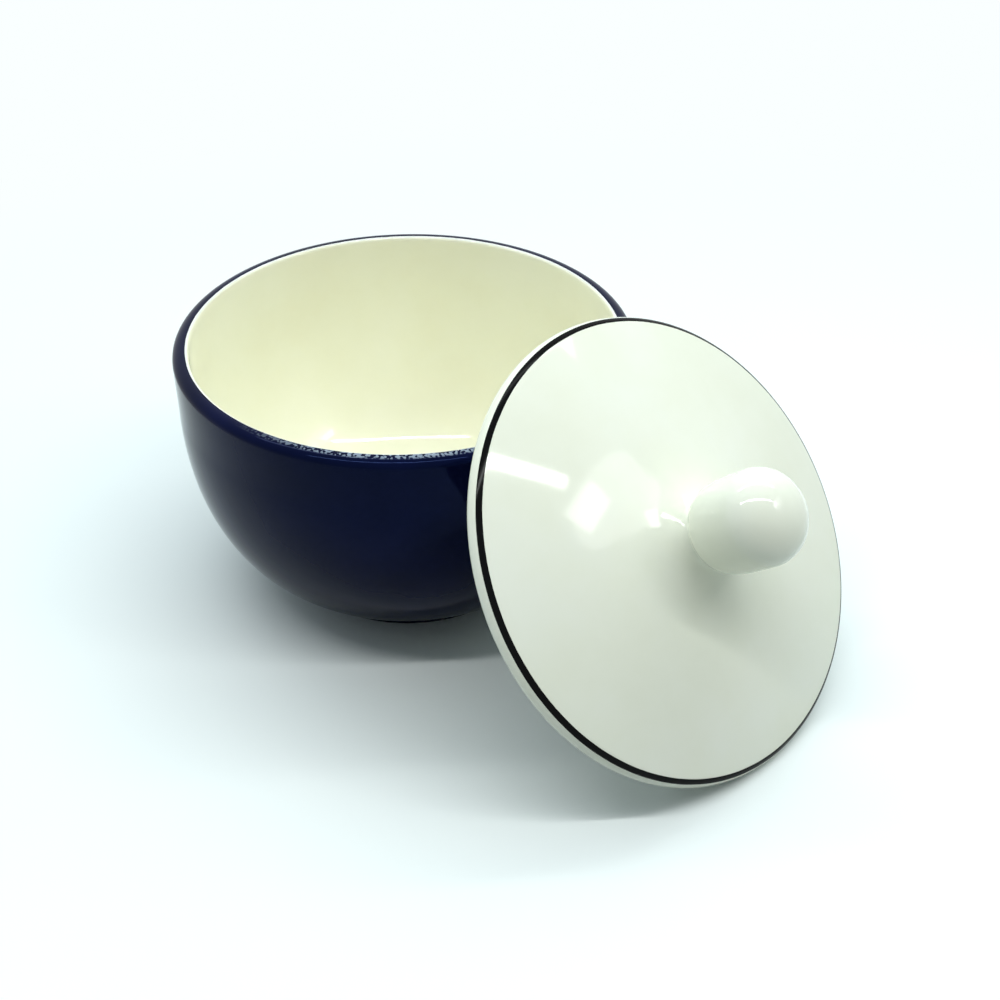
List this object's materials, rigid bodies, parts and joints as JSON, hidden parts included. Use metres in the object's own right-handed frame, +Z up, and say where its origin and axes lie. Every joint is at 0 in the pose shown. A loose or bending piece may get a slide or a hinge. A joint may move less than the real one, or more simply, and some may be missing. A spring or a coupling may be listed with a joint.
{
  "type": "sugar bowl with lid",
  "caption": "Round glazed ceramic sugar bowl on a low foot ring, with a loose domed lid and ball knob leaning on its rim.",
  "frame": {"origin": "middle of the set's footprint, on the table, with the lid off and leaning", "axes": "+Z up, +X from the bowl towards the leaning lid's low edge"},
  "size_m": [0.167, 0.108, 0.0809],
  "materials": {
    "navy_glaze": "glossy navy glaze on the bowl's outside and rim",
    "cream_glaze": "glossy cream glaze inside the bowl",
    "white_glaze": "thin white line where the navy and cream glazes part",
    "ivory_glaze": "glossy ivory glaze on the lid and its knob",
    "black_line": "painted blue-black line round the lid's edge",
    "bare_clay": "unglazed clay where the foot and the flange stood in the kiln"
  },
  "bodies": {
    "bowl": {"bowl": "navy_glaze"},
    "lid": {"lid": "ivory_glaze", "lid_knob": "ivory_glaze"}
  },
  "joints": [
    {"name": "lid_lift", "type": "slide", "parent": "bowl", "child": "lid", "axis": [0, 0, 1], "range_m": [0, 0.1]}
  ]
}
